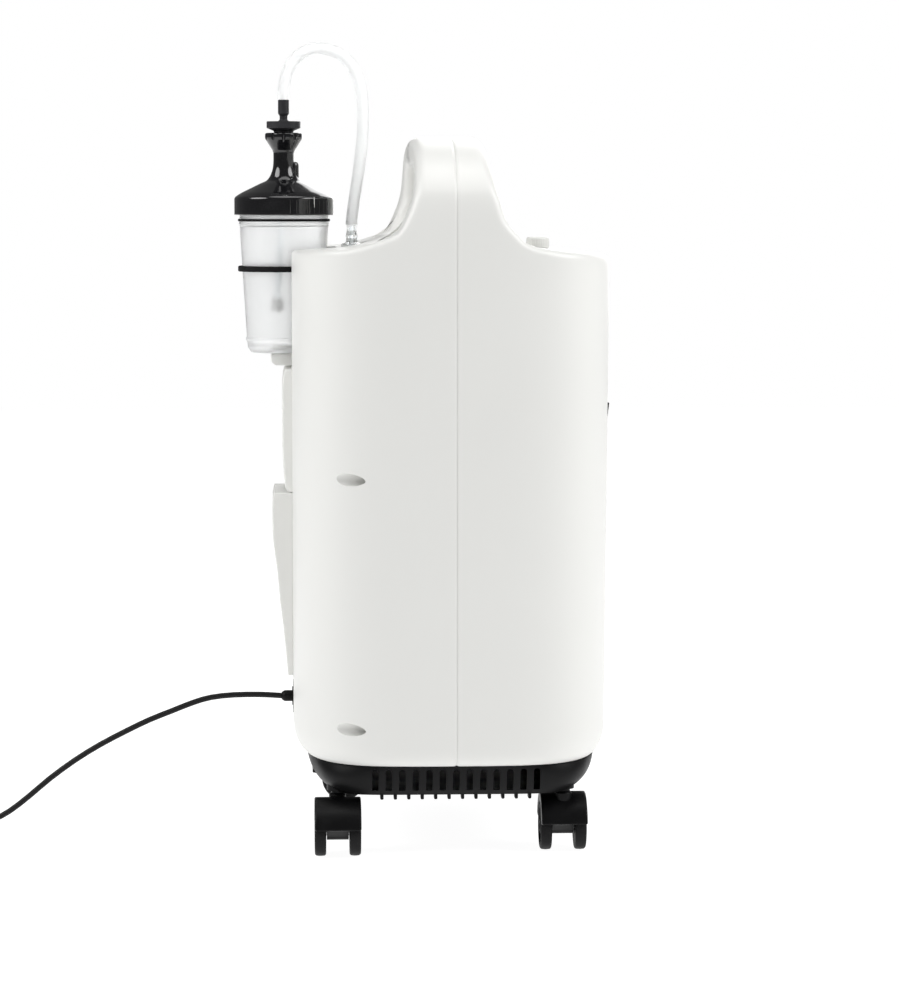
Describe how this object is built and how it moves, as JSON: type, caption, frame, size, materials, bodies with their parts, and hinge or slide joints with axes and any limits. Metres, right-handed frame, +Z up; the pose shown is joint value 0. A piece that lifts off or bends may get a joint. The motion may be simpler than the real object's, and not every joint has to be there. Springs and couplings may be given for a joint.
{
  "type": "oxygen concentrator",
  "caption": "Wheeled upright cabinet that draws oxygen from room air and bubbles it through a humidifier bottle hung in a niche at its rear; arch handle on top.",
  "frame": {"origin": "on the floor, at the middle of the object's width and length, cord and hose not counted", "axes": "+Z up, +Y towards the rear face with the humidifier, +X to the right seen from the front"},
  "size_m": [0.3696, 0.6366, 0.6875],
  "materials": {
    "shell_white": "fine satin moulded texture",
    "black_plastic": "satin",
    "gloss_black": "glossy",
    "caster_black": "satin",
    "caster_tread": "satin",
    "panel_grey": "satin",
    "display_black": "glossy",
    "clear_plastic": "clear",
    "bottle_clear": "clear, slightly frosted",
    "hose_clear": "translucent",
    "connector_grey": "satin",
    "pale_plastic": "satin",
    "strap_rubber": "matt",
    "cord_rubber": "satin",
    "foam": "open foam",
    "steel": "brushed",
    "alloy": "cast",
    "circuit_board": "lacquered"
  },
  "bodies": {
    "cabinet": {"front_shell": "shell_white", "rear_shell": "shell_white", "base_tray": "black_plastic", "front_panel": "panel_grey", "display_window": "display_black", "flowmeter_body": "clear_plastic", "filter_foam": "foam", "power_inlet": "black_plastic", "cord_connector": "black_plastic", "power_cord": "cord_rubber", "power_cord_coil": "cord_rubber", "power_plug": "black_plastic", "bottle_strap": "strap_rubber", "bottle_shelf": "shell_white", "outlet_nipple": "clear_plastic", "humidifier_hose": "hose_clear", "shell_screw_left_low": "steel", "shell_screw_left_high": "steel", "shell_screw_right_low": "steel", "shell_screw_right_high": "steel", "chassis_plate": "steel", "compressor_motor": "alloy", "compressor_head_left": "alloy", "compressor_head_right": "alloy", "fan_shroud": "black_plastic", "sieve_bed_left": "alloy", "sieve_bed_right": "alloy", "product_tank": "alloy", "valve_manifold": "alloy", "heat_exchanger": "alloy", "control_board": "circuit_board", "intake_muffler": "black_plastic"},
    "door": {"filter_door": "shell_white"},
    "knob": {"flow_knob": "shell_white"},
    "rocker": {"power_rocker": "black_plastic"},
    "breaker": {"breaker_button": "black_plastic"},
    "meter_float": {"flowmeter_float": "steel"},
    "humidifier": {"humidifier_lid": "gloss_black", "hose_connector": "connector_grey", "dip_tube": "clear_plastic", "bubble_diffuser": "pale_plastic"},
    "bottle": {"humidifier_bottle": "bottle_clear"},
    "hand_nut": {"humidifier_nut": "gloss_black"},
    "fan": {"fan_rotor": "black_plastic"},
    "caster_rear_left": {"caster_rear_left_hood": "caster_black", "caster_rear_left_axle": "steel"},
    "caster_rear_left_wheel_front": {"caster_rear_left_wheel_front": "caster_tread"},
    "caster_rear_left_wheel_rear": {"caster_rear_left_wheel_rear": "caster_tread"},
    "caster_rear_right": {"caster_rear_right_hood": "caster_black", "caster_rear_right_axle": "steel"},
    "caster_rear_right_wheel_front": {"caster_rear_right_wheel_front": "caster_tread"},
    "caster_rear_right_wheel_rear": {"caster_rear_right_wheel_rear": "caster_tread"},
    "caster_front_left": {"caster_front_left_hood": "caster_black", "caster_front_left_axle": "steel"},
    "caster_front_left_wheel_front": {"caster_front_left_wheel_front": "caster_tread"},
    "caster_front_left_wheel_rear": {"caster_front_left_wheel_rear": "caster_tread"},
    "caster_front_right": {"caster_front_right_hood": "caster_black", "caster_front_right_axle": "steel"},
    "caster_front_right_wheel_front": {"caster_front_right_wheel_front": "caster_tread"},
    "caster_front_right_wheel_rear": {"caster_front_right_wheel_rear": "caster_tread"}
  },
  "joints": [
    {"name": "door_hinge", "type": "hinge", "parent": "cabinet", "child": "door", "pos_m": [0, 0.11305, 0.141], "axis": [-1, 0, 0], "range_deg": [0, 60]},
    {"name": "knob_turn", "type": "hinge", "parent": "cabinet", "child": "knob", "pos_m": [0, -0.10335, 0.5088], "axis": [0, 0, 1], "range_deg": [0, 270]},
    {"name": "rocker_tilt", "type": "hinge", "parent": "cabinet", "child": "rocker", "pos_m": [-0.034, -0.15685, 0.362], "axis": [-1, 0, 0], "range_deg": [0, 14]},
    {"name": "breaker_press", "type": "slide", "parent": "cabinet", "child": "breaker", "axis": [0, 1, 0], "range_m": [0, 0.002], "stiffness_N_per_m": 300, "springref_m": -0.002},
    {"name": "float_rise", "type": "slide", "parent": "cabinet", "child": "meter_float", "axis": [0, 0, 1], "range_m": [0, 0.09]},
    {"name": "humidifier_lift", "type": "slide", "parent": "cabinet", "child": "humidifier", "axis": [0, 0, 1], "range_m": [0, 0.04], "deforming": ["humidifier_hose"]},
    {"name": "jar_unscrew", "type": "hinge", "parent": "humidifier", "child": "bottle", "pos_m": [0, 0.11865, 0.4185], "axis": [0, 0, 1], "range_deg": [0, 180]},
    {"name": "nut_turn", "type": "hinge", "parent": "humidifier", "child": "hand_nut", "pos_m": [0, 0.11865, 0.5923], "axis": [0, 0, 1], "continuous": true},
    {"name": "fan_spin", "type": "hinge", "parent": "cabinet", "child": "fan", "pos_m": [0, -0.11135, 0.16], "axis": [0, 1, 0], "continuous": true},
    {"name": "caster_rear_left_swivel", "type": "hinge", "parent": "cabinet", "child": "caster_rear_left", "pos_m": [-0.137, 0.07565, 0.0496], "axis": [0, 0, 1], "continuous": true},
    {"name": "caster_rear_left_wheel_front_roll", "type": "hinge", "parent": "caster_rear_left", "child": "caster_rear_left_wheel_front", "pos_m": [-0.147, 0.07565, 0.02], "axis": [0, 1, 0], "continuous": true},
    {"name": "caster_rear_left_wheel_rear_roll", "type": "hinge", "parent": "caster_rear_left", "child": "caster_rear_left_wheel_rear", "pos_m": [-0.147, 0.07565, 0.02], "axis": [0, 1, 0], "continuous": true},
    {"name": "caster_rear_right_swivel", "type": "hinge", "parent": "cabinet", "child": "caster_rear_right", "pos_m": [0.137, 0.07565, 0.0496], "axis": [0, 0, 1], "continuous": true},
    {"name": "caster_rear_right_wheel_front_roll", "type": "hinge", "parent": "caster_rear_right", "child": "caster_rear_right_wheel_front", "pos_m": [0.137, 0.06565, 0.02], "axis": [-1, 0, 0], "continuous": true},
    {"name": "caster_rear_right_wheel_rear_roll", "type": "hinge", "parent": "caster_rear_right", "child": "caster_rear_right_wheel_rear", "pos_m": [0.137, 0.06565, 0.02], "axis": [-1, 0, 0], "continuous": true},
    {"name": "caster_front_left_swivel", "type": "hinge", "parent": "cabinet", "child": "caster_front_left", "pos_m": [-0.137, -0.11595, 0.0496], "axis": [0, 0, 1], "continuous": true},
    {"name": "caster_front_left_wheel_front_roll", "type": "hinge", "parent": "caster_front_left", "child": "caster_front_left_wheel_front", "pos_m": [-0.127, -0.11595, 0.02], "axis": [0, 1, 0], "continuous": true},
    {"name": "caster_front_left_wheel_rear_roll", "type": "hinge", "parent": "caster_front_left", "child": "caster_front_left_wheel_rear", "pos_m": [-0.127, -0.11595, 0.02], "axis": [0, 1, 0], "continuous": true},
    {"name": "caster_front_right_swivel", "type": "hinge", "parent": "cabinet", "child": "caster_front_right", "pos_m": [0.137, -0.11595, 0.0496], "axis": [0, 0, 1], "continuous": true},
    {"name": "caster_front_right_wheel_front_roll", "type": "hinge", "parent": "caster_front_right", "child": "caster_front_right_wheel_front", "pos_m": [0.147, -0.11595, 0.02], "axis": [0, 1, 0], "continuous": true},
    {"name": "caster_front_right_wheel_rear_roll", "type": "hinge", "parent": "caster_front_right", "child": "caster_front_right_wheel_rear", "pos_m": [0.147, -0.11595, 0.02], "axis": [0, 1, 0], "continuous": true}
  ]
}
